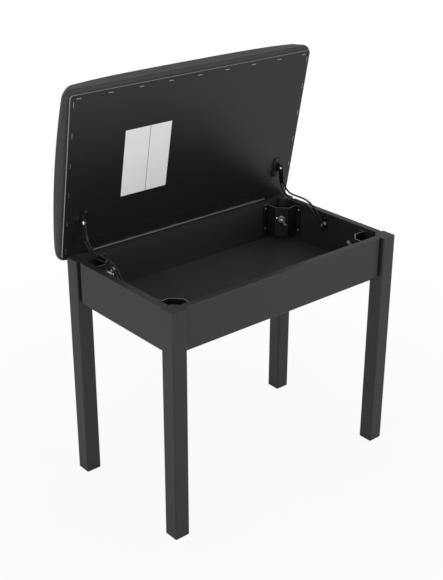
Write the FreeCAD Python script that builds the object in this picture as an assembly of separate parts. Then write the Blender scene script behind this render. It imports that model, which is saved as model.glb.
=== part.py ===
import FreeCAD, Part
import math
import os

# Keyboard bench with a storage box under a padded flip-top lid.
# Sizes are in millimetres. The origin is on the floor, midway between the four legs.
# +X points to the right of a player facing the keyboard side's back rail, +Y to the hinge, +Z up.
# The lid is drawn closed and then swung open to the angle at which its two stays hold it.

Vector = FreeCAD.Vector

# Frame
benchWidth = 546.0          # over the legs, along X
benchDepth = 316.0          # over the legs, along Y
legHeight = 456.0
legSide = 31.5
legEdgeRound = 3.0
legFootChamfer = 1.2
legFlat = 9.0               # corner cut off the leg inside the box, where its bolt goes in
railHeight = 84.5
railThickness = 14.0
railFootRadius = 9.0        # lower end corners
railEndRadius = 5.0         # outer upright edges at the ends
railEdgeRound = 1.0         # outer top edge
frontSetback = 8.0          # rail face behind the leg face
sideSetback = 3.5
rearSetback = 3.5
tongueLength = 9.0          # stepped rear end of each side rail
tongueStep = 5.0
floorThickness = 3.5
floorRebate = 7.0           # how far the floor panel reaches under the rails
floorClearance = 0.3

# Corner brackets, bolts and their screws
bracketSheet = 1.6
bracketHeight = 62.0
bracketTopDrop = 7.0        # bracket top below the rail top
bracketHoleRise = 6.0       # bolt hole over the bracket's middle
bracketFoot = 41.5          # where the bracket leaves a rail, from the inner corner
bracketNear = 25.0          # reach of the diagonal's near ends from the rails
bracketFar = 43.0
bracketFlangeEnd = 56.0
bracketBend = 1.5
hangerBoltRadius = 3.0
hangerBoltLength = 72.0
hangerBoltTip = 4.0         # bolt showing past its nut
washerRadius = 7.5
washerThickness = 1.2
nutBaseRadius = 6.2
nutTopRadius = 4.8
nutHeight = 7.5
wingThickness = 2.6
wingInner = 3.6             # where a wing starts inside the nut's body, from the bolt's axis
wingOuter = 14.5
wingFoot = 1.5              # wing's lower edge over the washer
wingTip = 14.0              # wing's top over the washer
wingTipRadius = 3.2
boltHoleClearance = 0.4
bracketScrewSpan = 44.0     # between the two screws of one flange
screwRadius = 1.8
screwLength = 12.0
screwHeadRadius = 3.6
screwHeadHeight = 1.9
pilotClearance = 0.05

# Lid
lidGap = 1.5                # closed lid above the leg tops
panelOverhangX = 8.0        # underside panel past the legs
panelOverhangY = 3.5
panelThickness = 3.0
panelCornerRadius = 6.0
hemThickness = 1.2
hemWidth = 16.0
boardThickness = 12.0
coverThickness = 1.2
coverFit = 0.2
lidOpenAngle = 79.3

# Outlines at rising heights over the underside panel:
# height, growth past the panel at the ends and at the sides, corner radius
cushionRings = [
    (0.0, 0.8, 1.2, 14.0),
    (0.8, 2.6, 3.6, 16.0),
    (2.4, 4.2, 5.6, 17.0),
    (5.0, 5.2, 7.0, 18.0),
    (16.0, 5.8, 7.2, 21.0),
    (27.0, 6.0, 6.8, 28.0),
    (34.0, 4.0, 4.6, 38.0),
    (38.5, -2.0, -1.6, 48.0),
    (42.0, -14.0, -13.0, 54.0),
    (45.0, -42.0, -38.0, 56.0),
    (47.0, -86.0, -74.0, 56.0),
    (48.0, -132.0, -106.0, 50.0),
]
boardRings = [
    (hemThickness, 0.4, 0.8, 13.0),
    (hemThickness + 2.8, 3.2, 4.6, 15.5),
    (hemThickness + boardThickness, 4.0, 5.4, 17.0),
]
sideBow = 1.6               # outward bow of the cushion's long and short sides

# Piano hinge
hingeLength = 434.0
knuckleCount = 17
knuckleRadius = 2.4
knuckleGap = 0.2
knuckleFit = 0.1            # knuckle clear of the surface that its leaf lies on
hingePinRadius = 1.25
hingePinFit = 0.05
leafThickness = 1.2
leafReach = 26.0            # hinge axis to the leaf's free edge
hingeScrewCount = 7
hingeScrewPitch = 62.0
hingeScrewInset = 9.0       # screw row to the leaf's free edge
hingeScrewRadius = 1.4
hingeScrewHead = 2.9
hingeScrewLength = 11.0

# Stays
stayInset = 10.3            # plane in which each stay arm swings, from the side rail's inner face
stayThickness = 2.0
stayHalfWidth = 6.5
staySlotHalfWidth = 3.5
staySlotStart = 36.0        # from the upper pivot, along the arm
stayEnd = 2.6               # arm past the slot's end
stayPivotReach = 69.5       # upper pivot from the hinge axis, along the closed lid
stayPivotDrop = 9.2         # upper pivot below the underside panel
stayHeading = 264.0         # the arm leaves its pivot almost straight down
stayTopRun = 21.0
stayTopRadius = 35.5
stayTopAngle = -84.0
stayMidRun = 28.0
stayLowRadius = 54.0
stayLowAngle = 47.0
stayLowRun = 27.0
staySideGap = 0.2
lugSheet = 1.6
lugRadius = 6.0
lugFlangeLength = 44.0
lugFlangeWidth = 13.0
lugScrewSpan = 31.0
rivetRadius = 2.5
rivetFit = 0.05
rivetHeadRadius = 4.4
rivetHeadHeight = 1.5
studRadius = 3.0
studGap = 0.3               # stud's end clear of the arm, which slides past it
studPlateLength = 36.0
studPlateWidth = 15.0
studPlateThickness = 1.6
studPlateScrewSpan = 24.0

# Staples
stapleCrown = 10.0
stapleWire = 0.9
stapleLeg = 6.0
stapleEdge = 6.5            # staple row to the panel's edge
frontStapleCount = 9
sideStapleCount = 6
floorFrontStapleCount = 5
floorSideStapleCount = 3

# Places that follow from the sizes above
halfWidth = benchWidth / 2
halfDepth = benchDepth / 2
legInnerX = halfWidth - legSide
legInnerY = halfDepth - legSide
railBottom = legHeight - railHeight
sideInner = halfWidth - sideSetback - railThickness
rearOuter = halfDepth - rearSetback
rearInner = rearOuter - railThickness
frontOuter = -halfDepth + frontSetback
frontInner = frontOuter + railThickness
lidUnder = legHeight + lidGap
panelHalfX = halfWidth + panelOverhangX
panelHalfY = halfDepth + panelOverhangY
panelTop = lidUnder + panelThickness
boardTop = panelTop + hemThickness + boardThickness
hingeY = rearOuter + knuckleRadius + knuckleFit
hingeZ = lidUnder - knuckleRadius - knuckleFit
hingeAxis = Vector(0, hingeY, hingeZ)
bracketMidZ = legHeight - bracketTopDrop - bracketHeight / 2
stayMidX = sideInner - stayInset
stayInnerX = stayMidX - stayThickness / 2
stayOuterX = stayMidX + stayThickness / 2
lugOuterX = stayInnerX - staySideGap
lugInnerX = lugOuterX - lugSheet
pivotClosed = Vector(0, hingeY - stayPivotReach, lidUnder - stayPivotDrop)

xDirection = Vector(1, 0, 0)
zDirection = Vector(0, 0, 1)

# The box's four inner corners: name, side, end, inner face of the rail at that end, and the angle
# at which its wing nut came to rest
corners = [
    ("front_left", -1, -1, frontInner, 20),
    ("front_right", 1, -1, frontInner, 75),
    ("rear_left", -1, 1, rearInner, -35),
    ("rear_right", 1, 1, rearInner, 40),
]


def block(low, high):
    size = high - low
    return Part.makeBox(size.x, size.y, size.z, low)


def rod(radius, start, end):
    run = end - start
    return Part.makeCylinder(radius, run.Length, start, run)


def cone(startRadius, endRadius, start, end):
    run = end - start
    return Part.makeCone(startRadius, endRadius, run.Length, start, run)


def prism(points, run):
    return Part.Face(Part.makePolygon(points + [points[0]])).extrude(run)


def swungOpen(shape):
    """A lid piece turned from closed to the angle at which the stays hold it."""
    turned = shape.copy()
    turned.rotate(hingeAxis, xDirection, -lidOpenAngle)
    return turned


def mirrored(shape):
    """The same piece for the other side of the bench."""
    return shape.mirror(Vector(0, 0, 0), xDirection)


def bowedRectangle(halfX, halfY, radius, bow, z):
    """A closed outline with round corners, whose four sides bow outwards a little."""
    edges = []
    spread = math.sqrt(0.5) * radius
    for turn in range(4):
        along, across = (halfX, halfY) if turn % 2 == 0 else (halfY, halfX)
        turned = FreeCAD.Rotation(zDirection, 90 * turn)

        def place(x, y):
            return turned.multVec(Vector(x, y, 0)) + Vector(0, 0, z)

        start = place(-along + radius, -across)
        end = place(along - radius, -across)
        if bow > 0:
            edges.append(Part.Arc(start, place(0, -across - bow), end).toShape())
        else:
            edges.append(Part.LineSegment(start, end).toShape())
        centreX = along - radius
        centreY = -across + radius
        corner = place(centreX + spread, centreY - spread)
        edges.append(Part.Arc(end, corner, place(along, centreY)).toShape())
    return Part.Wire(edges)


def slab(halfX, halfY, radius, low, high):
    outline = bowedRectangle(halfX, halfY, radius, 0, low)
    return Part.Face(outline).extrude(Vector(0, 0, high - low))


def screw(head, inward):
    """A pan-head wood screw: head is the centre of the head's seat, inward its direction."""
    way = Vector(inward).normalize()
    shank = rod(screwRadius, head, head + way * (screwLength - screwRadius))
    point = cone(screwRadius, screwRadius / 4, head + way * (screwLength - screwRadius),
                 head + way * screwLength)
    rim = head - way * (screwHeadHeight / 2)
    pan = rod(screwHeadRadius, rim, head)
    dome = cone(screwHeadRadius * 0.6, screwHeadRadius, head - way * screwHeadHeight, rim)
    return shank.fuse([point, pan, dome]).removeSplitter()


def pilotHole(head, inward):
    way = Vector(inward).normalize()
    return rod(screwRadius + pilotClearance, head - way, head + way * (screwLength + pilotClearance))


def staple(centre, along, inward):
    """A driven staple: its crown lies on the surface at centre, its legs run inward."""
    run = Vector(along).normalize()
    way = Vector(inward).normalize()
    side = run.cross(way)
    half = stapleCrown / 2
    low = centre - side * (stapleWire / 2) - way * stapleWire
    outline = [
        low - run * half,
        low + run * half,
        low + run * half + way * (stapleLeg + stapleWire),
        low + run * (half - stapleWire) + way * (stapleLeg + stapleWire),
        low + run * (half - stapleWire) + way * stapleWire,
        low - run * (half - stapleWire) + way * stapleWire,
        low - run * (half - stapleWire) + way * (stapleLeg + stapleWire),
        low - run * half + way * (stapleLeg + stapleWire),
    ]
    return prism(outline, side * stapleWire)


def spread(count, reach):
    """Evenly spaced places from -reach to +reach."""
    return [-reach + 2 * reach * index / (count - 1) for index in range(count)]


def cornerPoint(sideSign, endSign, innerFace, u, v, z):
    """A point seen from the box's inner corner: u runs along the end rail, v along the side rail."""
    return Vector(sideSign * (sideInner - u), innerFace - endSign * v, z)


# Legs and rails

def hangerAxis(corner):
    """The bolt's outer end and its direction into the leg, square to the bracket's diagonal."""
    name, sideSign, endSign, innerFace, nutAngle = corner
    mid = (bracketNear + bracketFar) / 2
    z = bracketMidZ + bracketHoleRise
    face = cornerPoint(sideSign, endSign, innerFace, mid, mid, z)
    way = (cornerPoint(sideSign, endSign, innerFace, 0, 0, z) - face).normalize()
    seat = face - way * bracketSheet
    return seat, way


def leg(corner):
    name, sideSign, endSign, innerFace, nutAngle = corner
    outer = Vector(sideSign * halfWidth, endSign * halfDepth, 0)
    inner = Vector(sideSign * legInnerX, endSign * legInnerY, legHeight)
    low = Vector(min(outer.x, inner.x), min(outer.y, inner.y), 0)
    post = Part.makeBox(legSide, legSide, legHeight, low)
    upright = [edge for edge in post.Edges if abs(edge.tangentAt(0).z) > 0.5]
    post = post.makeFillet(legEdgeRound, upright)
    foot = [edge for edge in post.Edges if edge.BoundBox.ZMax < 0.01]
    post = post.makeChamfer(legFootChamfer, foot)
    cut = [
        Vector(inner.x, inner.y, railBottom),
        Vector(inner.x + sideSign * legFlat, inner.y, railBottom),
        Vector(inner.x, inner.y + endSign * legFlat, railBottom),
    ]
    post = post.cut(prism(cut, Vector(0, 0, railHeight)))
    seat, way = hangerAxis(corner)
    start = seat - way * (washerThickness + nutHeight + hangerBoltTip)
    bolt = rod(hangerBoltRadius + pilotClearance, start, start + way * (hangerBoltLength + pilotClearance))
    return post.cut(bolt)


def railBlank(low, high, outward):
    """A board on edge whose outer face looks along outward, with its corners and edges rounded."""
    board = block(low, high)
    run = Vector(abs(outward.y), abs(outward.x), 0)

    def spans(edge, way):
        return abs(edge.tangentAt(edge.FirstParameter).dot(way)) > 0.99

    def isOuter(edge):
        place = edge.valueAt(edge.FirstParameter)
        return (place - low).dot(outward) > railThickness / 2 or (place - high).dot(outward) > -0.01

    feet = [edge for edge in board.Edges if spans(edge, outward) and edge.BoundBox.ZMax < low.z + 0.01]
    board = board.makeFillet(railFootRadius, feet)
    ends = [edge for edge in board.Edges if spans(edge, zDirection) and isOuter(edge)]
    board = board.makeFillet(railEndRadius, ends)
    tops = [edge for edge in board.Edges
            if spans(edge, run) and isOuter(edge) and edge.BoundBox.ZMin > high.z - 0.01]
    return board.makeFillet(railEdgeRound, tops)


def floorRebateCut():
    """The room for the floor panel, taken out of the rails' lower inner edges."""
    low = Vector(-sideInner - floorRebate, frontInner - floorRebate, railBottom - 1)
    high = Vector(sideInner + floorRebate, rearInner + floorRebate, railBottom + floorThickness)
    return block(low, high)


def rails():
    """The four rails, each between two legs, with pilot holes for every screw that enters them."""
    frontRail = railBlank(Vector(-legInnerX, frontOuter, railBottom),
                          Vector(legInnerX, frontInner, legHeight), Vector(0, -1, 0))
    rearRail = railBlank(Vector(-legInnerX, rearInner, railBottom),
                         Vector(legInnerX, rearOuter, legHeight), Vector(0, 1, 0))
    sideOuter = sideInner + railThickness
    rightRail = railBlank(Vector(sideInner, -legInnerY, railBottom),
                          Vector(sideOuter, legInnerY, legHeight), xDirection)
    step = block(Vector(sideOuter - tongueStep, legInnerY - tongueLength, railBottom),
                 Vector(sideOuter, legInnerY, legHeight))
    rightRail = rightRail.cut(step)
    cut = [floorRebateCut()]
    cut += [pilotHole(head, way) for head, way in bracketScrewSeats()]
    cut += [pilotHole(head, way) for head, way in studPlateScrewSeats()]
    rearCut = cut + [hingeScrewHole(centre, Vector(0, -1, 0)) for centre in railLeafScrewSeats()]
    return {
        "rail_front": frontRail.cut(cut),
        "rail_rear": rearRail.cut(rearCut),
        "rail_right": rightRail.cut(cut),
        "rail_left": mirrored(rightRail).cut(cut),
    }


def floorPanel():
    """The storage floor, let into the rails from below and notched round the legs."""
    reach = floorRebate - floorClearance
    low = Vector(-sideInner - reach, frontInner - reach, railBottom)
    high = Vector(sideInner + reach, rearInner + reach, railBottom + floorThickness)
    panel = block(low, high)
    for name, sideSign, endSign, innerFace, nutAngle in corners:
        clear = Vector(sideSign * (legInnerX - floorClearance), endSign * (legInnerY - floorClearance), 0)
        far = Vector(sideSign * halfWidth, endSign * halfDepth, 0)
        notch = block(Vector(min(clear.x, far.x), min(clear.y, far.y), railBottom - 1),
                      Vector(max(clear.x, far.x), max(clear.y, far.y), railBottom + floorThickness + 1))
        panel = panel.cut(notch)
    return panel


def floorStaples():
    """Staples driven up through the floor panel's edge into the rails."""
    upward = Vector(0, 0, 1)
    inset = floorRebate / 2
    pieces = []
    for x in spread(floorFrontStapleCount, legInnerX - legSide):
        for y in (frontInner - inset, rearInner + inset):
            pieces.append(staple(Vector(x, y, railBottom), xDirection, upward))
    for y in spread(floorSideStapleCount, legInnerY - legSide):
        for x in (-sideInner - inset, sideInner + inset):
            pieces.append(staple(Vector(x, y, railBottom), Vector(0, 1, 0), upward))
    return Part.makeCompound(pieces)


# Corner brackets

def bracketOutline():
    """The bent sheet in plan, rail flange to rail flange, as (u, v) from the inner corner."""
    face = [
        (0, bracketFlangeEnd),
        (0, bracketFoot),
        (bracketNear, bracketFar),
        (bracketFar, bracketNear),
        (bracketFoot, 0),
        (bracketFlangeEnd, 0),
    ]
    ways = []
    for start, end in zip(face, face[1:]):
        run = math.hypot(end[0] - start[0], end[1] - start[1])
        ways.append(((end[0] - start[0]) / run, (end[1] - start[1]) / run))
    back = []
    for index, (u, v) in enumerate(face):
        before = ways[max(index - 1, 0)]
        after = ways[min(index, len(ways) - 1)]
        share = 1 + before[0] * after[0] + before[1] * after[1]
        offsetU = -(before[1] + after[1]) / share
        offsetV = (before[0] + after[0]) / share
        back.append((u + offsetU * bracketSheet, v + offsetV * bracketSheet))
    return face + back[::-1]


def bracketScrewSeats():
    """Head seat and direction of every bracket screw."""
    seats = []
    mid = (bracketFoot + bracketSheet + bracketFlangeEnd) / 2
    for name, sideSign, endSign, innerFace, nutAngle in corners:
        for z in (bracketMidZ - bracketScrewSpan / 2, bracketMidZ + bracketScrewSpan / 2):
            sideSeat = cornerPoint(sideSign, endSign, innerFace, bracketSheet, mid, z)
            endSeat = cornerPoint(sideSign, endSign, innerFace, mid, bracketSheet, z)
            seats.append((sideSeat, Vector(sideSign, 0, 0)))
            seats.append((endSeat, Vector(0, endSign, 0)))
    return seats


def cornerBracket(corner):
    name, sideSign, endSign, innerFace, nutAngle = corner
    low = bracketMidZ - bracketHeight / 2
    outline = [cornerPoint(sideSign, endSign, innerFace, u, v, low) for u, v in bracketOutline()]
    plate = prism(outline, Vector(0, 0, bracketHeight))
    bends = [edge for edge in plate.Edges if edge.BoundBox.ZLength > bracketHeight - 1 and isBend(edge, outline)]
    plate = plate.makeFillet(bracketBend, bends)
    seat, way = hangerAxis(corner)
    hole = rod(hangerBoltRadius + boltHoleClearance, seat - way, seat + way * (bracketSheet + 1))
    return plate.cut([hole] + [pilotHole(head, inward) for head, inward in bracketScrewSeats()])


def isBend(edge, outline):
    """True for the outer edges at the diagonal's two ends, where the sheet turns."""
    x = edge.Vertexes[0].X
    y = edge.Vertexes[0].Y
    turns = outline[8:10]
    return any(math.hypot(x - turn.x, y - turn.y) < 0.01 for turn in turns)


def wingNut(seat, way, nutAngle):
    """A cold-formed wing nut whose two ears flare away from the washer."""
    back = way * -1
    across = FreeCAD.Rotation(way, nutAngle).multVec(back.cross(zDirection))
    side = across.cross(back).normalize()
    body = cone(nutBaseRadius, nutTopRadius, seat, seat + back * nutHeight)
    half = side * (wingThickness / 2)

    def place(reach, rise):
        return seat + across * reach + back * rise - half

    ears = []
    for sign in (-1, 1):
        tip = wingOuter - wingTipRadius
        low = place(sign * wingInner, wingFoot)
        outerFoot = place(sign * wingOuter, wingTip - 2 * wingTipRadius)
        outerTop = place(sign * tip, wingTip)
        innerTop = place(sign * (tip - wingTipRadius), wingTip - wingTipRadius)
        root = place(sign * wingInner, nutHeight - wingFoot)
        bend = math.sqrt(0.5) * wingTipRadius
        shoulder = place(sign * (tip + bend), wingTip - wingTipRadius + bend)
        edges = [
            Part.LineSegment(low, outerFoot),
            Part.Arc(outerFoot, shoulder, outerTop),
            Part.LineSegment(outerTop, innerTop),
            Part.LineSegment(innerTop, root),
            Part.LineSegment(root, low),
        ]
        ears.append(Part.Face(Part.Wire([edge.toShape() for edge in edges])).extrude(half * 2))
    return body.fuse(ears)


def bracketFasteners():
    """Hanger bolts, washers and wing nuts: one of each at every corner."""
    bolts = []
    washers = []
    nuts = []
    for corner in corners:
        seat, way = hangerAxis(corner)
        nutSeat = seat - way * washerThickness
        nutEnd = nutSeat - way * nutHeight
        start = nutEnd - way * hangerBoltTip
        end = start + way * hangerBoltLength
        tip = hangerBoltRadius / 3
        bolts.append(cone(hangerBoltRadius - tip, hangerBoltRadius, start, start + way * tip)
                     .fuse([rod(hangerBoltRadius, start + way * tip, end - way * hangerBoltRadius),
                            cone(hangerBoltRadius, tip, end - way * hangerBoltRadius, end)]))
        bore = rod(hangerBoltRadius + pilotClearance, start - way * wingTip, seat)
        washers.append(rod(washerRadius, nutSeat, seat).cut(bore))
        nuts.append(wingNut(nutSeat, way, corner[-1]).cut(bore))
    return bolts, washers, nuts


# Lid: underside panel, board, foam and cover, drawn closed

def cushionForm(rings):
    """A closed form through outlines at rising heights over the underside panel."""
    wires = []
    for height, growX, growY, radius in rings:
        wires.append(bowedRectangle(panelHalfX + growX, panelHalfY + growY, radius, sideBow, panelTop + height))
    return Part.makeLoft(wires, True, True)


def grown(rings, amount):
    """The same outlines, larger all round by amount."""
    return [(height, growX + amount, growY + amount, radius + amount) for height, growX, growY, radius in rings]


def overBoard(inset, foot):
    """The outlines of the form on the board, drawn in from the cover's outside by inset, with its foot given."""
    rings = [foot]
    for height, growX, growY, radius in cushionRings:
        if height > foot[0]:
            rings.append((height - inset, growX - inset, growY - inset, radius - inset))
    return rings


def lidPieces():
    panel = slab(panelHalfX, panelHalfY, panelCornerRadius, lidUnder, panelTop)
    roomRings = grown(boardRings, coverFit)
    holes = [hingeScrewHole(centre, zDirection) for centre in lidLeafScrewSeats()]
    holes += [pilotHole(head, way) for head, way in lugScrewSeats()]
    cover = cushionForm(cushionRings)
    opening = slab(panelHalfX - hemWidth, panelHalfY - hemWidth, panelCornerRadius, lidUnder, boardTop)
    for room in (cushionForm(overBoard(coverThickness, roomRings[-1])), cushionForm(roomRings), opening):
        cover = cover.cut(room)
    return {
        "underside_panel": panel.cut(holes),
        "seat_board": cushionForm(boardRings).cut(holes),
        "foam_pad": cushionForm(overBoard(coverThickness + coverFit, boardRings[-1])),
        "seat_cover": cover,
    }


def panelStaples():
    """Staples all round the underside panel, a little inside its edge."""
    upward = Vector(0, 0, 1)
    rowX = panelHalfX - stapleEdge
    rowY = panelHalfY - stapleEdge
    pieces = []
    for x in spread(frontStapleCount, rowX - stapleCrown):
        pieces.append(staple(Vector(x, -rowY, lidUnder), xDirection, upward))
    for y in spread(sideStapleCount, rowY - stapleCrown):
        for x in (-rowX, rowX):
            pieces.append(staple(Vector(x, y, lidUnder), Vector(0, 1, 0), upward))
    return Part.makeCompound(pieces)


# Piano hinge

def hingeScrewPlaces():
    return [hingeScrewPitch * (index - (hingeScrewCount - 1) / 2) for index in range(hingeScrewCount)]


def railLeafScrewSeats():
    """Centres of the screw holes on the face of the rail leaf that shows."""
    z = hingeZ - leafReach + hingeScrewInset
    return [Vector(x, rearOuter + leafThickness, z) for x in hingeScrewPlaces()]


def lidLeafScrewSeats():
    y = hingeY - leafReach + hingeScrewInset
    return [Vector(x, y, lidUnder - leafThickness) for x in hingeScrewPlaces()]


def hingeScrewHole(centre, inward):
    """A pilot hole for one countersunk hinge screw, through the leaf and into the wood."""
    return rod(hingeScrewRadius + pilotClearance, centre - inward,
               centre + inward * (hingeScrewLength + pilotClearance))


def hingeScrew(centre, inward):
    """A countersunk screw whose head fills the leaf's thickness."""
    neck = centre + inward * leafThickness
    head = cone(hingeScrewHead, hingeScrewRadius, centre, neck)
    shank = rod(hingeScrewRadius, neck, centre + inward * hingeScrewLength)
    return head.fuse(shank)


def knuckleSpan(index):
    pitch = hingeLength / knuckleCount
    start = -hingeLength / 2 + pitch * index
    return start + knuckleGap / 2, start + pitch - knuckleGap / 2


def hingeLeaf(odd):
    """One leaf, lying under the closed lid, with every second knuckle rolled at its edge."""
    clear = knuckleRadius + 2 * knuckleGap
    plate = block(Vector(-hingeLength / 2, hingeY - leafReach, lidUnder - leafThickness),
                  Vector(hingeLength / 2, hingeY - clear, lidUnder))
    pieces = []
    for index in range(knuckleCount):
        if index % 2 != odd:
            continue
        start, end = knuckleSpan(index)
        pieces.append(rod(knuckleRadius, Vector(start, hingeY, hingeZ), Vector(end, hingeY, hingeZ)))
        pieces.append(block(Vector(start, hingeY - clear, lidUnder - leafThickness),
                            Vector(end, hingeY, lidUnder - knuckleFit)))
        pieces.append(block(Vector(start, hingeY - clear - leafThickness, lidUnder - leafThickness),
                            Vector(end, hingeY - clear, lidUnder)))
    leaf = plate.fuse(pieces)
    bore = rod(hingePinRadius + hingePinFit, Vector(-hingeLength, hingeY, hingeZ), Vector(hingeLength, hingeY, hingeZ))
    sinks = []
    for centre in lidLeafScrewSeats():
        sinks.append(cone(hingeScrewHead + pilotClearance, hingeScrewRadius + pilotClearance,
                          centre, centre + Vector(0, 0, leafThickness)))
    return leaf.cut([bore] + sinks).removeSplitter()


def railLeaf():
    """The same leaf turned a quarter down, on the back of the rear rail."""
    leaf = hingeLeaf(0)
    leaf.rotate(hingeAxis, xDirection, 90)
    return leaf.removeSplitter()


def hingePin():
    return rod(hingePinRadius, Vector(-hingeLength / 2, hingeY, hingeZ), Vector(hingeLength / 2, hingeY, hingeZ))


# Stays: a slotted S-shaped arm on each side, a bracket on the lid and a stud on the side rail

def stayPivot():
    """The upper pivot when the lid stands open."""
    turn = FreeCAD.Rotation(xDirection, -lidOpenAngle)
    return hingeAxis + turn.multVec(pivotClosed - hingeAxis)


def stayCourse():
    """The arm's middle line as edges from the upper pivot down to the stud, in the plane x = 0."""
    place = stayPivot()
    heading = math.radians(stayHeading)
    edges = []
    runs = [
        (stayTopRun, stayTopRadius, stayTopAngle),
        (stayMidRun, stayLowRadius, stayLowAngle),
        (stayLowRun, 0, 0),
    ]
    for straight, radius, turn in runs:
        end = place + Vector(0, math.cos(heading), math.sin(heading)) * straight
        edges.append(Part.LineSegment(place, end).toShape())
        place = end
        if turn == 0:
            continue
        sense = math.copysign(1, turn)
        centre = place + Vector(0, -math.sin(heading), math.cos(heading)) * (radius * sense)

        def onArc(share):
            angle = heading + math.radians(turn) * share
            return centre + Vector(0, math.sin(angle), -math.cos(angle)) * (radius * sense)

        edges.append(Part.Arc(place, onArc(0.5), onArc(1)).toShape())
        place = onArc(1)
        heading += math.radians(turn)
    return edges, place, heading


def strip(edges, halfWidth):
    """A face of even width with round ends, along tangent lines and arcs."""
    pieces = []
    for edge in edges:
        first = edge.valueAt(edge.FirstParameter)
        last = edge.valueAt(edge.LastParameter)
        startSide = sideOf(edge, edge.FirstParameter) * halfWidth
        endSide = sideOf(edge, edge.LastParameter) * halfWidth
        if edge.Curve.TypeId == "Part::GeomLine":
            left = Part.LineSegment(first + startSide, last + endSide)
            right = Part.LineSegment(last - endSide, first - startSide)
        else:
            middle = (edge.FirstParameter + edge.LastParameter) / 2
            mid = edge.valueAt(middle)
            midSide = sideOf(edge, middle) * halfWidth
            left = Part.Arc(first + startSide, mid + midSide, last + endSide)
            right = Part.Arc(last - endSide, mid - midSide, first - startSide)
        pieces.append((left, right))
    lastEdge = edges[-1]
    tip = lastEdge.valueAt(lastEdge.LastParameter)
    tipSide = sideOf(lastEdge, lastEdge.LastParameter) * halfWidth
    tipWay = lastEdge.tangentAt(lastEdge.LastParameter) * halfWidth
    root = edges[0].valueAt(edges[0].FirstParameter)
    rootSide = sideOf(edges[0], edges[0].FirstParameter) * halfWidth
    rootWay = edges[0].tangentAt(edges[0].FirstParameter) * halfWidth
    outline = [left.toShape() for left, right in pieces]
    outline.append(Part.Arc(tip + tipSide, tip + tipWay, tip - tipSide).toShape())
    outline += [right.toShape() for left, right in reversed(pieces)]
    outline.append(Part.Arc(root - rootSide, root - rootWay, root + rootSide).toShape())
    return Part.Face(Part.Wire(outline))


def sideOf(edge, parameter):
    return xDirection.cross(edge.tangentAt(parameter))


def stayArm():
    edges, stud, heading = stayCourse()
    tail = Part.LineSegment(stud, stud + Vector(0, math.cos(heading), math.sin(heading)) * stayEnd).toShape()
    arm = strip(edges + [tail], stayHalfWidth)
    skip = staySlotStart - stayTopRun
    topArc = edges[1]
    cut = topArc.FirstParameter + (topArc.LastParameter - topArc.FirstParameter) * skip / topArc.Length
    slotArc = Part.Edge(topArc.Curve, cut, topArc.LastParameter)
    slot = strip([slotArc] + edges[2:], staySlotHalfWidth)
    plate = arm.cut(slot).extrude(Vector(stayThickness, 0, 0))
    plate.translate(Vector(stayInnerX, 0, 0))
    pivot = stayPivot()
    hole = rod(rivetRadius + rivetFit, pivot + Vector(stayInnerX - 1, 0, 0), pivot + Vector(stayOuterX + 1, 0, 0))
    return plate.cut(hole)


def lugScrewSeats():
    """Screws that hold the stay brackets to the closed lid, both sides."""
    seats = []
    z = lidUnder - lugSheet
    for side in (-1, 1):
        x = side * (lugInnerX - lugFlangeWidth / 2)
        for step in (-lugScrewSpan / 2, lugScrewSpan / 2):
            seats.append((Vector(x, pivotClosed.y + step, z), Vector(0, 0, 1)))
    return seats


def stayBracket():
    """An angle bracket under the closed lid, whose round ear carries the arm's pivot."""
    half = lugFlangeLength / 2
    flange = block(Vector(lugInnerX - lugFlangeWidth, pivotClosed.y - half, lidUnder - lugSheet),
                   Vector(lugOuterX, pivotClosed.y + half, lidUnder))
    ends = [edge for edge in flange.Edges
                if abs(edge.tangentAt(0).z) > 0.5 and edge.Vertexes[0].X < lugInnerX]
    flange = flange.makeFillet(lugFlangeWidth / 3, ends)
    top = lidUnder - lugSheet / 2
    foot = lugRadius * 1.8
    edges = [
        Part.LineSegment(Vector(lugInnerX, pivotClosed.y - foot, top), Vector(lugInnerX, pivotClosed.y + foot, top)),
        Part.LineSegment(Vector(lugInnerX, pivotClosed.y + foot, top),
                         Vector(lugInnerX, pivotClosed.y + lugRadius, pivotClosed.z)),
        Part.Arc(Vector(lugInnerX, pivotClosed.y + lugRadius, pivotClosed.z),
                 Vector(lugInnerX, pivotClosed.y, pivotClosed.z - lugRadius),
                 Vector(lugInnerX, pivotClosed.y - lugRadius, pivotClosed.z)),
        Part.LineSegment(Vector(lugInnerX, pivotClosed.y - lugRadius, pivotClosed.z),
                         Vector(lugInnerX, pivotClosed.y - foot, top)),
    ]
    ear = Part.Face(Part.Wire([edge.toShape() for edge in edges])).extrude(Vector(lugSheet, 0, 0))
    bore = rod(rivetRadius + rivetFit, pivotClosed + Vector(lugInnerX - 1, 0, 0), pivotClosed + Vector(lugOuterX + 1, 0, 0))
    return flange.fuse(ear).cut([bore] + [pilotHole(head, way) for head, way in lugScrewSeats()])


def stayRivet():
    """A headed rivet through the bracket's ear and the arm."""
    inner = pivotClosed + Vector(lugInnerX, 0, 0)
    outer = pivotClosed + Vector(stayOuterX + staySideGap, 0, 0)
    headRun = Vector(rivetHeadHeight, 0, 0)
    shank = rod(rivetRadius, inner, outer)
    innerHead = cone(rivetHeadRadius * 0.6, rivetHeadRadius, inner - headRun, inner)
    outerHead = cone(rivetHeadRadius, rivetHeadRadius * 0.6, outer, outer + headRun)
    return shank.fuse([innerHead, outerHead])


def studPlateScrewSeats():
    """Screws that hold the stud plates to the side rails, both sides."""
    edges, stud, heading = stayCourse()
    seats = []
    for side in (-1, 1):
        for step in (-studPlateScrewSpan / 2, studPlateScrewSpan / 2):
            head = Vector(side * (sideInner - studPlateThickness), stud.y, stud.z + step)
            seats.append((head, Vector(side, 0, 0)))
    return seats


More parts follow.
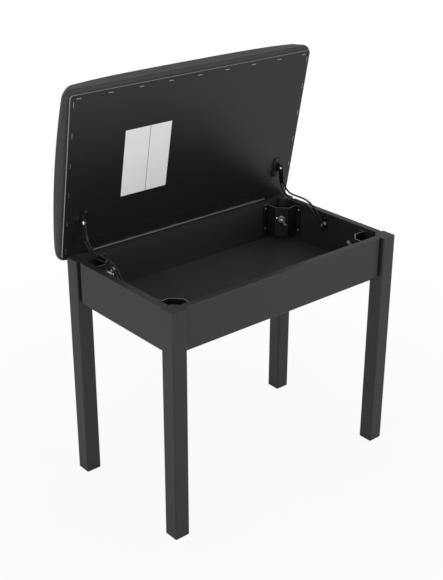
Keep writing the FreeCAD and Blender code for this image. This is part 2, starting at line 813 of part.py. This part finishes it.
def stayStud():
    """An oval plate on the side rail with the stud that stands in the arm's slot."""
    edges, stud, heading = stayCourse()
    plateInner = sideInner - studPlateThickness
    half = (studPlateLength - studPlateWidth) / 2
    middle = Part.LineSegment(stud + Vector(plateInner, 0, -half), stud + Vector(plateInner, 0, half)).toShape()
    plate = strip([middle], studPlateWidth / 2).extrude(Vector(studPlateThickness, 0, 0))
    shoulder = rod(studRadius * 1.5, stud + Vector(plateInner - studPlateThickness, 0, 0), stud + Vector(plateInner, 0, 0))
    post = rod(studRadius, stud + Vector(stayOuterX + studGap, 0, 0), stud + Vector(plateInner, 0, 0))
    return plate.fuse([shoulder, post]).cut([pilotHole(head, way) for head, way in studPlateScrewSeats()])


def build():
    """Every piece by its name. Lid pieces are swung open, and the arms are drawn open."""
    pieces = {}
    for corner in corners:
        pieces["leg_" + corner[0]] = leg(corner)
        pieces["corner_bracket_" + corner[0]] = cornerBracket(corner)
    pieces.update(rails())
    pieces["floor_panel"] = floorPanel()
    pieces["floor_staples"] = floorStaples()
    bolts, washers, nuts = bracketFasteners()
    pieces["hanger_bolts"] = Part.makeCompound(bolts)
    pieces["bolt_washers"] = Part.makeCompound(washers)
    pieces["wing_nuts"] = Part.makeCompound(nuts)
    pieces["bracket_screws"] = Part.makeCompound([screw(head, way) for head, way in bracketScrewSeats()])
    pieces["hinge_leaf_rail"] = railLeaf()
    pieces["hinge_pin"] = hingePin()
    pieces["hinge_screws_rail"] = Part.makeCompound(
        [hingeScrew(centre, Vector(0, -1, 0)) for centre in railLeafScrewSeats()])
    stud = stayStud()
    pieces["stay_stud_right"] = stud
    pieces["stay_stud_left"] = mirrored(stud)
    pieces["stay_stud_screws"] = Part.makeCompound([screw(head, way) for head, way in studPlateScrewSeats()])

    for name, shape in lidPieces().items():
        pieces[name] = swungOpen(shape)
    pieces["panel_staples"] = swungOpen(panelStaples())
    pieces["hinge_leaf_lid"] = swungOpen(hingeLeaf(1))
    lidScrews = [hingeScrew(centre, Vector(0, 0, 1)) for centre in lidLeafScrewSeats()]
    pieces["hinge_screws_lid"] = swungOpen(Part.makeCompound(lidScrews))
    bracket = stayBracket()
    pieces["stay_bracket_right"] = swungOpen(bracket)
    pieces["stay_bracket_left"] = swungOpen(mirrored(bracket))
    bracketScrews = [screw(head, way) for head, way in lugScrewSeats()]
    pieces["stay_bracket_screws"] = swungOpen(Part.makeCompound(bracketScrews))
    rivet = stayRivet()
    pieces["stay_rivets"] = swungOpen(Part.makeCompound([rivet, mirrored(rivet)]))

    arm = stayArm()
    pieces["stay_arm_right"] = arm
    pieces["stay_arm_left"] = mirrored(arm)
    return pieces


os.makedirs("parts", exist_ok=True)
parts = build()
for partName, partShape in parts.items():
    partShape.exportStep("parts/" + partName + ".step")

pivotPlace = stayPivot()
studPlace = stayCourse()[1]
print("pieces", len(parts), "solids", sum(len(shape.Solids) for shape in parts.values()))
print("hinge axis y z", round(hingeY, 3), round(hingeZ, 3))
print("stay pivot y z", round(pivotPlace.y, 3), round(pivotPlace.z, 3))
print("stay stud y z", round(studPlace.y, 3), round(studPlace.z, 3))
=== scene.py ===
import bpy
import math
from mathutils import Matrix, Vector, noise


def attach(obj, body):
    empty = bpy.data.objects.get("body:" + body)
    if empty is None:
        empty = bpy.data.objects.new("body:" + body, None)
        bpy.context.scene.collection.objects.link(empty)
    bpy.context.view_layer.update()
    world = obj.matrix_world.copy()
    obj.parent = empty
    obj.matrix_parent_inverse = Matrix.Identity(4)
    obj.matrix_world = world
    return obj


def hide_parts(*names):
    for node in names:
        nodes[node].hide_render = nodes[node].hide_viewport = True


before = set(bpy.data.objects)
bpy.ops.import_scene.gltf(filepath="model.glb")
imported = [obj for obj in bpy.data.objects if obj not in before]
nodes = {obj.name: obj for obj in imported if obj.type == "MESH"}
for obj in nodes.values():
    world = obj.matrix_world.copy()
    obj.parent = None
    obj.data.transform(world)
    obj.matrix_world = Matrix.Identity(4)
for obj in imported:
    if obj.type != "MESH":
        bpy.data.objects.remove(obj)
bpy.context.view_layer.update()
print("frame loaded:", len(nodes), "nodes")

# The lid's pieces are modelled closed and then swung open about the hinge, as the CAD lid is
lid = {
    "hinge": (0.0, 0.157, 0.455),
    "openAngle": 79.3,
    "underside": 0.4575,             # height of the panel's lower face, with the lid closed
    "panelThickness": 0.003,
    "panelHalf": (0.281, 0.1615),
}
stayStud = (0.0, 0.0141, 0.4325)     # a point on the axis that both stay studs share
touch = 0.0001                       # heights closer than this are the same

swing = (Matrix.Translation(lid["hinge"]) @ Matrix.Rotation(math.radians(-lid["openAngle"]), 4, "X")
         @ Matrix.Translation([-value for value in lid["hinge"]]))
lidNormal = swing.to_3x3() @ Vector((0, 0, 1))


# Small helpers

def linearColour(hexText):
    values = [int(hexText[start:start + 2], 16) / 255 for start in (1, 3, 5)]
    return tuple(v / 12.92 if v <= 0.04045 else ((v + 0.055) / 1.055) ** 2.4 for v in values) + (1.0,)


def perSize(millimetres):
    # the scale of a pattern whose features are this far apart
    return 1000 / millimetres


def clearSelection():
    if bpy.context.object and bpy.context.object.mode != "OBJECT":
        bpy.ops.object.mode_set(mode="OBJECT")
    bpy.ops.object.select_all(action="DESELECT")


def makeActive(piece):
    clearSelection()
    piece.select_set(True)
    bpy.context.view_layer.objects.active = piece


def pickEdges(piece, test):
    # leaves the piece in edit mode with only the edges that pass the test selected
    makeActive(piece)
    bpy.ops.object.mode_set(mode="EDIT")
    bpy.ops.mesh.select_mode(type="EDGE")
    bpy.ops.mesh.select_all(action="DESELECT")
    bpy.ops.object.mode_set(mode="OBJECT")
    points = piece.data.vertices
    for edge in piece.data.edges:
        edge.select = test(points[edge.vertices[0]].co, points[edge.vertices[1]].co)
    bpy.ops.object.mode_set(mode="EDIT")


def addBlock(name, low, high):
    clearSelection()
    middle = [(a + b) / 2 for a, b in zip(low, high)]
    bpy.ops.mesh.primitive_cube_add(size=1, location=middle)
    piece = bpy.context.object
    piece.name = name
    piece.scale = [b - a for a, b in zip(low, high)]
    bpy.ops.object.transform_apply(location=True, rotation=False, scale=True)
    return piece


def applyModifier(piece, kind, **settings):
    makeActive(piece)
    modifier = piece.modifiers.new(kind.title(), kind)
    for name, value in settings.items():
        setattr(modifier, name, value)
    bpy.ops.object.modifier_apply(modifier=modifier.name)


def openWithLid(piece):
    piece.data.transform(swing)
    piece.data.update()


def dress(piece, material):
    piece.data.materials.clear()
    piece.data.materials.append(material)


# Materials

def addNode(material, kind, settings=None, links=None):
    node = material.node_tree.nodes.new(kind)
    for name, value in (settings or {}).items():
        if isinstance(name, int) or name in node.inputs:
            node.inputs[name].default_value = value
        else:
            setattr(node, name, value)
    for name, (source, output) in (links or {}).items():
        material.node_tree.links.new(source.outputs[output], node.inputs[name])
    return node


def newMaterial(name):
    material = bpy.data.materials.new(name)
    material.use_nodes = True
    material.node_tree.nodes.clear()
    return material


def finishMaterial(material, tones, gloss, reliefs, settings, patch=None):
    # tones is two sRGB colours and the pattern between them, gloss two roughnesses and theirs, and
    # reliefs lists (strength, height in metres, pattern); patch is a colour and the mask it shows in
    low, high, pattern = tones
    colour = addNode(material, "ShaderNodeMix",
                     {"data_type": "RGBA", 6: linearColour(low), 7: linearColour(high)},
                     {"Factor": pattern})
    if patch:
        patchColour, mask = patch
        colour = addNode(material, "ShaderNodeMix", {"data_type": "RGBA", 7: linearColour(patchColour)},
                         {"Factor": mask, 6: (colour, 2)})
    start, end, pattern = gloss
    roughness = addNode(material, "ShaderNodeMapRange", {"To Min": start, "To Max": end}, {"Value": pattern})
    links = {"Base Color": (colour, 2), "Roughness": (roughness, "Result")}
    for strength, height, pattern in reliefs:
        under = {"Normal": links["Normal"]} if "Normal" in links else {}
        bump = addNode(material, "ShaderNodeBump", {"Strength": strength, "Distance": height},
                       {"Height": pattern, **under})
        links["Normal"] = (bump, "Normal")
    shader = addNode(material, "ShaderNodeBsdfPrincipled", settings, links)
    addNode(material, "ShaderNodeOutputMaterial", links={"Surface": (shader, "BSDF")})
    return material


def satinLacquer(name, grain):
    # black satin lacquer sprayed on close-grained hardwood: a soft sheen, a trace of orange peel,
    # and the filled grain just showing as long shallow streaks along the board
    material = newMaterial(name)
    place = (addNode(material, "ShaderNodeTexCoord"), "Object")
    streak = [perSize(25) if axis == grain else perSize(1.1) for axis in "xyz"]
    along = addNode(material, "ShaderNodeMapping", {"Scale": streak}, {"Vector": place})
    pores = addNode(material, "ShaderNodeTexNoise", {"Scale": 1.0, "Detail": 3.0, "Roughness": 0.6},
                    {"Vector": (along, "Vector")})
    cloud = addNode(material, "ShaderNodeTexNoise", {"Scale": perSize(71), "Detail": 2.0}, {"Vector": place})
    peel = addNode(material, "ShaderNodeTexNoise", {"Scale": perSize(2.4), "Detail": 1.0}, {"Vector": place})
    return finishMaterial(material, ("#1d1d1e", "#262627", (cloud, "Fac")), (0.36, 0.5, (peel, "Fac")),
                          [(0.25, 0.0002, (pores, "Fac")), (0.12, 0.0003, (peel, "Fac"))], {"IOR": 1.5})


def paintedHardboard(name, low, high, edgeFibreAndHighlight):
    # thin fibreboard with a black roller-coated face, smoother and darker than the lacquer; the
    # lid's cut edges are unpainted fibre, and their light grey is partly a painted highlight
    material = newMaterial(name)
    coords = addNode(material, "ShaderNodeTexCoord")
    place = (coords, "Object")
    cloud = addNode(material, "ShaderNodeTexNoise", {"Scale": perSize(111), "Detail": 3.0}, {"Vector": place})
    roller = addNode(material, "ShaderNodeTexNoise", {"Scale": perSize(1.6), "Detail": 2.0}, {"Vector": place})
    patch = None
    # the edge colour is the raw fibre's tone together with a painted highlight
    if edgeFibreAndHighlight:
        facing = addNode(material, "ShaderNodeVectorMath",
                         {"operation": "DOT_PRODUCT", 1: tuple(lidNormal)}, {0: (coords, "Normal")})
        size = addNode(material, "ShaderNodeMath", {"operation": "ABSOLUTE"}, {0: (facing, "Value")})
        isEdge = addNode(material, "ShaderNodeMath", {"operation": "LESS_THAN", 1: 0.5}, {0: (size, "Value")})
        patch = (edgeFibreAndHighlight, (isEdge, "Value"))
    return finishMaterial(material, (low, high, (cloud, "Fac")), (0.3, 0.42, (roller, "Fac")),
                          [(0.15, 0.0002, (roller, "Fac"))], {"IOR": 1.5}, patch)


def embossedVinyl(name):
    # calendered PVC upholstery with a pressed leather grain: pebbles of about 1.3 mm with fine
    # creases between them, and a low even sheen that is higher on the pebbles
    material = newMaterial(name)
    place = (addNode(material, "ShaderNodeTexCoord"), "Object")
    wander = addNode(material, "ShaderNodeTexNoise", {"Scale": perSize(3.8), "Detail": 2.0}, {"Vector": place})
    bend = addNode(material, "ShaderNodeVectorMath",
                   {"operation": "MULTIPLY_ADD", 1: (0.0016, 0.0016, 0.0016)},
                   {0: (wander, "Color"), 2: place})
    pebbles = addNode(material, "ShaderNodeTexVoronoi",
                      {"feature": "DISTANCE_TO_EDGE", "Scale": perSize(1.3)}, {"Vector": (bend, "Vector")})
    height = addNode(material, "ShaderNodeMapRange", {"From Max": 0.16}, {"Value": (pebbles, "Distance")})
    cloud = addNode(material, "ShaderNodeTexNoise", {"Scale": perSize(91), "Detail": 2.0}, {"Vector": place})
    return finishMaterial(material, ("#202022", "#29292b", (cloud, "Fac")), (0.62, 0.46, (height, "Result")),
                          [(0.35, 0.0003, (height, "Result"))], {"IOR": 1.52})


def phosphatedSteel(name, paintedGlint):
    # pressed steel sheet with a thin black conversion coat and oil: dark, a little uneven; around
    # the pin that the last argument describes, a brighter disc is painted in as a highlight
    material = newMaterial(name)
    place = (addNode(material, "ShaderNodeTexCoord"), "Object")
    blotch = addNode(material, "ShaderNodeTexNoise", {"Scale": perSize(5.6), "Detail": 4.0}, {"Vector": place})
    scuff = addNode(material, "ShaderNodeTexNoise",
                    {"Scale": perSize(16.7), "Detail": 6.0, "Roughness": 0.7}, {"Vector": place})
    patch = None
    # a brighter disc around the pin's axis: a painted highlight
    if paintedGlint:
        section = addNode(material, "ShaderNodeVectorMath", {"operation": "MULTIPLY", 1: (0, 1, 1)}, {0: place})
        reach = addNode(material, "ShaderNodeVectorMath", {"operation": "DISTANCE", 1: paintedGlint["axis"]},
                        {0: (section, "Vector")})
        glintMask = addNode(material, "ShaderNodeMath", {"operation": "LESS_THAN", 1: paintedGlint["radius"]},
                       {0: (reach, "Value")})
        patch = (paintedGlint["tone"], (glintMask, "Value"))
    return finishMaterial(material, ("#2a2a2b", "#454546", (blotch, "Fac")), (0.28, 0.52, (scuff, "Fac")),
                          [(0.1, 0.0002, (blotch, "Fac"))], {"Metallic": 0.85}, patch)


def dippedSteel(name):
    # bent steel dipped in black paint, as dull as the boards; faces that point up, the top edge among them, are
    # painted light grey as a highlight
    material = newMaterial(name)
    coords = addNode(material, "ShaderNodeTexCoord")
    blotch = addNode(material, "ShaderNodeTexNoise", {"Scale": perSize(6.7), "Detail": 3.0},
                     {"Vector": (coords, "Object")})
    split = addNode(material, "ShaderNodeSeparateXYZ", links={"Vector": (coords, "Normal")})
    # faces that point up get a light grey: a painted highlight along the top edge
    paintedTopHighlight = addNode(material, "ShaderNodeMath", {"operation": "GREATER_THAN", 1: 0.8}, {0: (split, "Z")})
    return finishMaterial(material, ("#111112", "#1b1b1c", (blotch, "Fac")), (0.34, 0.46, (blotch, "Fac")),
                          [(0.15, 0.0002, (blotch, "Fac"))], {"IOR": 1.5}, ("#7c7c7d", (paintedTopHighlight, "Value")))


def zincPlate(name, low, high):
    # bright zinc plate on cold-formed steel: pale, cool and slightly mottled
    material = newMaterial(name)
    place = (addNode(material, "ShaderNodeTexCoord"), "Object")
    mottle = addNode(material, "ShaderNodeTexNoise", {"Scale": perSize(2), "Detail": 3.0}, {"Vector": place})
    return finishMaterial(material, (low, high, (mottle, "Fac")), (0.24, 0.4, (mottle, "Fac")),
                          [(0.08, 0.0001, (mottle, "Fac"))], {"Metallic": 1.0})


def rawPlywood(name):
    # rotary-cut birch plywood, unfinished, hidden inside the cushion
    material = newMaterial(name)
    place = (addNode(material, "ShaderNodeTexCoord"), "Object")
    streak = (perSize(125), perSize(6.25), perSize(6.25))
    along = addNode(material, "ShaderNodeMapping", {"Scale": streak}, {"Vector": place})
    grain = addNode(material, "ShaderNodeTexNoise", {"Scale": 1.0, "Detail": 5.0}, {"Vector": (along, "Vector")})
    return finishMaterial(material, ("#b08d5f", "#d8bd92", (grain, "Fac")), (0.6, 0.75, (grain, "Fac")),
                          [(0.2, 0.0002, (grain, "Fac"))], {"IOR": 1.5})


def uncoatedPaper(name, divider, ruleHalfWidth):
    # plain uncoated card stuck to the panel, with one ruled line and nothing printed in its columns
    material = newMaterial(name)
    coords = addNode(material, "ShaderNodeTexCoord")
    fibre = addNode(material, "ShaderNodeTexNoise", {"Scale": perSize(1.1), "Detail": 3.0},
                    {"Vector": (coords, "Object")})
    split = addNode(material, "ShaderNodeSeparateXYZ", links={"Vector": (coords, "UV")})
    offset = addNode(material, "ShaderNodeMath", {"operation": "SUBTRACT", 1: divider}, {0: (split, "X")})
    reach = addNode(material, "ShaderNodeMath", {"operation": "ABSOLUTE"}, {0: (offset, "Value")})
    onLine = addNode(material, "ShaderNodeMath", {"operation": "LESS_THAN", 1: ruleHalfWidth},
                     {0: (reach, "Value")})
    return finishMaterial(material, ("#efefed", "#fafaf8", (fibre, "Fac")), (0.7, 0.85, (fibre, "Fac")),
                          [(0.1, 0.0001, (fibre, "Fac"))], {"IOR": 1.5}, ("#77777a", (onLine, "Value")))


lacquerUpright = satinLacquer("satinLacquerUpright", "z")
lacquerLong = satinLacquer("satinLacquerLong", "x")
lacquerShort = satinLacquer("satinLacquerShort", "y")
# the lid's panel edges take a light grey: raw fibre and a painted highlight together
undersideBoard = paintedHardboard("paintedHardboardLid", "#121213", "#191919", "#8f8f8f")
# the floor's copy of the same black board has much lighter tones than the lid's: painted light inside the box
floorBoardLightened = paintedHardboard("paintedHardboardFloorLightened", "#2f2f30", "#39393a", None)
vinyl = embossedVinyl("embossedVinyl")
blackSteel = phosphatedSteel("phosphatedSteel", None)
# the hinge knuckles and the stay studs get a painted highlight around their pins
hingeSteel = phosphatedSteel("hingeSteelPaintedGlint", {"axis": lid["hinge"], "radius": 0.0034, "tone": "#6b6b6c"})
studSteel = phosphatedSteel("studSteelPaintedGlint", {"axis": stayStud, "radius": 0.0045, "tone": "#e4e4e6"})
bracketSteel = dippedSteel("dippedSteel")
boltZinc = zincPlate("zincPlate", "#bcbdc0", "#dfe0e3")
screwZinc = zincPlate("darkZincPlate", "#5c5d60", "#8b8c8f")
stapleWire = zincPlate("galvanisedWire", "#b9babb", "#dcdddd")
plywood = rawPlywood("rawPlywood")

# Each CAD node keeps its mesh and takes the finish that its name starts with
finishes = {
    "leg_": lacquerUpright,
    "rail_front": lacquerLong,
    "rail_rear": lacquerLong,
    "rail_left": lacquerShort,
    "rail_right": lacquerShort,
    "floor_panel": floorBoardLightened,
    "floor_staples": stapleWire,
    "corner_bracket_": bracketSteel,
    "hanger_bolts": boltZinc,
    "bolt_washers": boltZinc,
    "wing_nuts": boltZinc,
    "bracket_screws": screwZinc,
    "hinge_leaf_": hingeSteel,
    "hinge_pin": boltZinc,
    "hinge_screws_": blackSteel,
    "stay_stud_": studSteel,
    "stay_bracket_": blackSteel,
    "stay_rivets": boltZinc,
    "stay_arm_": blackSteel,
    "seat_board": plywood,
    "underside_panel": undersideBoard,
    "panel_staples": stapleWire,
}
for nodeName, node in nodes.items():
    for start, finish in finishes.items():
        if nodeName.startswith(start):
            for slot in node.material_slots:
                slot.material = finish
print("materials made")


# Seat cushion: vinyl drawn over foam and a board, swollen with a cloth simulation

cushion = {
    "low": lid["underside"] + lid["panelThickness"] + touch,
    "thickness": 0.0414,             # before it swells
    "overhang": (0.0059, 0.0086),    # past the panel's edge, at the ends and along the front
    "bow": 0.0015,                   # the sides swell outward along their length
    "cornerRadius": 0.018,
    "cornerSegments": 8,
    "foldRadius": 0.0052,            # where the vinyl turns under, outside the panel's edge
    "foldSegments": 5,
    "topRadius": 0.0135,
    "topSegments": 6,
    "leanHeight": 0.0249,            # above this the two ends lean in
    "lean": 78.0,                    # times the square of the height above that
    "boardShare": 0.32,              # share of the thickness that the stiff board takes up
    "pullShare": 0.35,               # share over which the pull at the corners comes in
    "endPull": 0.0065,               # how far the vinyl is drawn in toward the corners
    "sidePull": 0.0035,
    "cornerDrop": 0.002,
    "cornerReach": 0.26,             # share of the half length over which a corner drops
    "voxel": 0.0045,
    "pressure": 4.0,
    "frames": 20,
    "cap": 0.0065,                   # most that a point may swell
    "rimCap": 0.0012,                # most that the shoulder may swell
    "rimWidth": 0.06,
    "heldHeight": 0.0094,            # the board side is held up to here
    "pleatDepth": 0.0012,
    "pleatCount": 4,
    "pleatHeight": 0.0174,
    "foamFill": 0.9,
}
cushionHalf = [half + past for half, past in zip(lid["panelHalf"], cushion["overhang"])]


def makeCushionBlank():
    halfX, halfY = cushionHalf
    low = cushion["low"]
    high = low + cushion["thickness"]
    piece = addBlock("seatCushion", (-halfX, -halfY, low), (halfX, halfY, high))
    pickEdges(piece, lambda a, b: abs(a.z - b.z) > touch)
    bpy.ops.mesh.bevel(offset=cushion["cornerRadius"], segments=cushion["cornerSegments"])
    pickEdges(piece, lambda a, b: min(a.z, b.z) > high - touch)
    bpy.ops.mesh.bevel(offset=cushion["topRadius"], segments=cushion["topSegments"])
    pickEdges(piece, lambda a, b: max(a.z, b.z) < low + touch)
    bpy.ops.mesh.bevel(offset=cushion["foldRadius"], segments=cushion["foldSegments"])
    makeActive(piece)
    piece.data.remesh_voxel_size = cushion["voxel"]
    bpy.ops.object.voxel_remesh()
    return piece


def shapeSides(piece):
    # the foam is cut back at the ends, the sides bow, and the vinyl is drawn tighter over the corners
    halfX, halfY = cushionHalf
    for vertex in piece.data.vertices:
        place = vertex.co
        shareX = abs(place.x) / halfX
        shareY = abs(place.y) / halfY
        height = place.z - cushion["low"]
        share = height / cushion["thickness"]
        level = min(1.0, max(0.0, (share - cushion["boardShare"]) / cushion["pullShare"]))
        growX = cushion["bow"] * (1 - shareY ** 2) - cushion["endPull"] * level * shareY ** 2
        growX -= cushion["lean"] * max(0.0, height - cushion["leanHeight"]) ** 2
        growY = cushion["bow"] * (1 - shareX ** 2) - cushion["sidePull"] * level * shareX ** 4
        nearX = max(0.0, 1 - (1 - shareX) / cushion["cornerReach"])
        nearY = max(0.0, 1 - (1 - shareY) / cushion["cornerReach"])
        place.x *= 1 + growX / halfX
        place.y *= 1 + growY / halfY
        place.z -= cushion["cornerDrop"] * nearX * nearY * max(0.0, share)


def limitSwelling(piece, rest):
    # the middle may rise, while the shoulder stays close to the cut of the foam
    halfX, halfY = cushionHalf
    for vertex, start in zip(piece.data.vertices, rest):
        move = vertex.co - start
        inset = max(0.0, min(halfX - abs(start.x), halfY - abs(start.y)))
        share = min(1.0, inset / cushion["rimWidth"])
        limit = cushion["rimCap"] + (cushion["cap"] - cushion["rimCap"]) * share
        if move.length > limit:
            vertex.co = start + move * (limit / move.length)


def swellCushion(piece):
    # foam pressing against the stretched vinyl; the part next to the board is held
    makeActive(piece)
    rest = [vertex.co.copy() for vertex in piece.data.vertices]
    heldTop = cushion["low"] + cushion["heldHeight"]
    held = piece.vertex_groups.new(name="held")
    held.add([i for i, place in enumerate(rest) if place.z < heldTop], 1.0, "REPLACE")
    cloth = piece.modifiers.new("Cloth", "CLOTH")
    cloth.settings.vertex_group_mass = "held"
    cloth.settings.use_pressure = True
    cloth.settings.uniform_pressure_force = cushion["pressure"]
    cloth.settings.effector_weights.gravity = 0
    for step in range(1, cushion["frames"] + 1):
        bpy.context.scene.frame_set(step)
    makeActive(piece)
    bpy.ops.object.modifier_apply(modifier=cloth.name)
    limitSwelling(piece, rest)
    bpy.context.scene.frame_set(1)
    piece.vertex_groups.clear()
    applyModifier(piece, "SUBSURF", levels=1, render_levels=1)


def foldCorners(piece):
    # the vinyl is gathered into small pleats where it turns under at the four corners
    halfX, halfY = cushionHalf
    radius = cushion["cornerRadius"]
    for vertex in piece.data.vertices:
        out = Vector((abs(vertex.co.x) - halfX + radius, abs(vertex.co.y) - halfY + radius))
        height = vertex.co.z - cushion["low"]
        if out.x <= 0 or out.y <= 0 or height > cushion["pleatHeight"]:
            continue
        turn = math.atan2(out.y, out.x) / (math.pi / 2)
        fade = min(1.0, 1 - height / cushion["pleatHeight"])
        groove = max(0.0, math.cos(2 * math.pi * (turn * cushion["pleatCount"] - 0.5))) ** 3
        way = out.normalized() * cushion["pleatDepth"] * groove * fade
        vertex.co.x -= math.copysign(way.x, vertex.co.x)
        vertex.co.y -= math.copysign(way.y, vertex.co.y)


seatCushion = makeCushionBlank()
shapeSides(seatCushion)
swellCushion(seatCushion)
foldCorners(seatCushion)
openWithLid(seatCushion)
makeActive(seatCushion)
bpy.ops.object.shade_smooth()
dress(seatCushion, vinyl)
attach(seatCushion, "lid")
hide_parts("seat_cover", "foam_pad")
print("cushion made:", len(seatCushion.data.polygons), "faces")


# Blank card on the lid's underside, a little wavy where its glue has let go

card = {
    "low": (-0.159, -0.0744),        # on the closed lid, seen from above
    "high": (-0.0546, 0.0591),
    "cells": (24, 30),
    "thickness": 0.00025,
    "standOff": 0.0001,
    "wave": 0.00012,
    "wavesPerMetre": 30,
    "divider": 0.535,                # share of the width, as is the line's
    "ruleHalfWidth": 0.006,
}


def makeCard():
    clearSelection()
    (lowX, lowY), (highX, highY) = card["low"], card["high"]
    middle = ((highX + lowX) / 2, (highY + lowY) / 2, lid["underside"])
    cellsX, cellsY = card["cells"]
    bpy.ops.mesh.primitive_grid_add(x_subdivisions=cellsX, y_subdivisions=cellsY, size=1, location=middle)
    piece = bpy.context.object
    piece.name = "blankCard"
    piece.scale = (highX - lowX, highY - lowY, 1)
    bpy.ops.object.transform_apply(location=True, rotation=False, scale=True)
    pitch = card["wavesPerMetre"]
    for vertex in piece.data.vertices:
        lift = noise.noise(Vector((vertex.co.x * pitch, vertex.co.y * pitch, 0.0)))
        vertex.co.z -= card["standOff"] + card["wave"] * abs(lift)
    applyModifier(piece, "SOLIDIFY", thickness=card["thickness"], offset=-1)
    return piece


blankCard = makeCard()
openWithLid(blankCard)
dress(blankCard, uncoatedPaper("uncoatedPaper", card["divider"], card["ruleHalfWidth"]))
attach(blankCard, "lid")
print("card made")


# Studio: a white floor and surround, soft lamps and the photograph's camera

studio = {
    "floorSize": 30.0,
    "floorTone": "#e9e9e9",
    "surround": 0.55,                # light that the surround gives to the object
    "nearShadow": 0.09,              # share of the floor's own shading that the camera sees near the legs
    "fadeFrom": 0.4,
    "fadeTo": 1.1,
}
lamps = {
    "leftSoftbox": {"place": (-2.4, -0.5, 0.9), "aim": (0, 0, 0.4), "size": (1.8, 1.6), "power": 23},
    "frontSoftbox": {"place": (1.3, -2.5, 1.1), "aim": (0, 0, 0.35), "size": (1.6, 1.4), "power": 21},
    "topSoftbox": {"place": (0.5, 0.3, 2.6), "aim": (0, 0, 0.3), "size": (1.6, 1.2), "power": 8},
}
view = {
    "place": (-1.2472, -1.4303, 1.2362),
    "target": (0.1722, 0.2416, 0.2280),
    "lens": 67.51,
    "sensor": 36.0,
    "roll": 0.17,
}


def makeFloor():
    # the camera sees plain white mixed over the matt floor, less of it near the legs, where the
    # floor's own soft shadow shows
    clearSelection()
    bpy.ops.mesh.primitive_plane_add(size=studio["floorSize"], location=(0, 0, 0))
    floor = bpy.context.object
    floor.name = "studioFloor"
    material = newMaterial("mattWhiteFloor")
    coords = addNode(material, "ShaderNodeTexCoord")
    reach = addNode(material, "ShaderNodeVectorMath", {"operation": "LENGTH"}, {0: (coords, "Object")})
    share = addNode(material, "ShaderNodeMapRange",
                    {"From Min": studio["fadeFrom"], "From Max": studio["fadeTo"],
                     "To Min": 1 - studio["nearShadow"], "To Max": 1.0}, {"Value": (reach, "Value")})
    paths = addNode(material, "ShaderNodeLightPath")
    factor = addNode(material, "ShaderNodeMath", {"operation": "MULTIPLY"},
                     {0: (paths, "Is Camera Ray"), 1: (share, "Result")})
    matt = addNode(material, "ShaderNodeBsdfDiffuse", {"Color": linearColour(studio["floorTone"])})
    white = addNode(material, "ShaderNodeEmission", {"Color": (1, 1, 1, 1), "Strength": 1.0})
    mixed = addNode(material, "ShaderNodeMixShader", None,
                    {0: (factor, "Value"), 1: (matt, "BSDF"), 2: (white, "Emission")})
    addNode(material, "ShaderNodeOutputMaterial", links={"Surface": (mixed, "Shader")})
    dress(floor, material)


def makeSurround():
    world = bpy.data.worlds.new("whiteSurround")
    bpy.context.scene.world = world
    world.use_nodes = True
    world.node_tree.nodes.clear()
    paths = addNode(world, "ShaderNodeLightPath")
    level = addNode(world, "ShaderNodeMapRange", {"To Min": studio["surround"], "To Max": 1.0},
                    {"Value": (paths, "Is Camera Ray")})
    back = addNode(world, "ShaderNodeBackground", {"Color": (1, 1, 1, 1)}, {"Strength": (level, "Result")})
    addNode(world, "ShaderNodeOutputWorld", links={"Surface": (back, "Background")})


def addLamp(name, lamp):
    light = bpy.data.lights.new(name, "AREA")
    light.shape = "RECTANGLE"
    light.size, light.size_y = lamp["size"]
    light.energy = lamp["power"]
    holder = bpy.data.objects.new(name, light)
    bpy.context.collection.objects.link(holder)
    holder.location = lamp["place"]
    towards = Vector(lamp["aim"]) - Vector(lamp["place"])
    holder.rotation_euler = towards.to_track_quat("-Z", "Y").to_euler()


def addCamera():
    data = bpy.data.cameras.new("photoCamera")
    data.lens = view["lens"]
    data.sensor_width = view["sensor"]
    camera = bpy.data.objects.new("photoCamera", data)
    bpy.context.collection.objects.link(camera)
    camera.location = view["place"]
    towards = Vector(view["target"]) - Vector(view["place"])
    look = towards.to_track_quat("-Z", "Y").to_matrix().to_4x4()
    look = look @ Matrix.Rotation(math.radians(view["roll"]), 4, "Z")
    camera.rotation_euler = look.to_euler()
    bpy.context.scene.camera = camera


makeFloor()
makeSurround()
for lampName, lamp in lamps.items():
    addLamp(lampName, lamp)
addCamera()
bpy.context.scene.view_settings.view_transform = "Standard"
print("studio made")
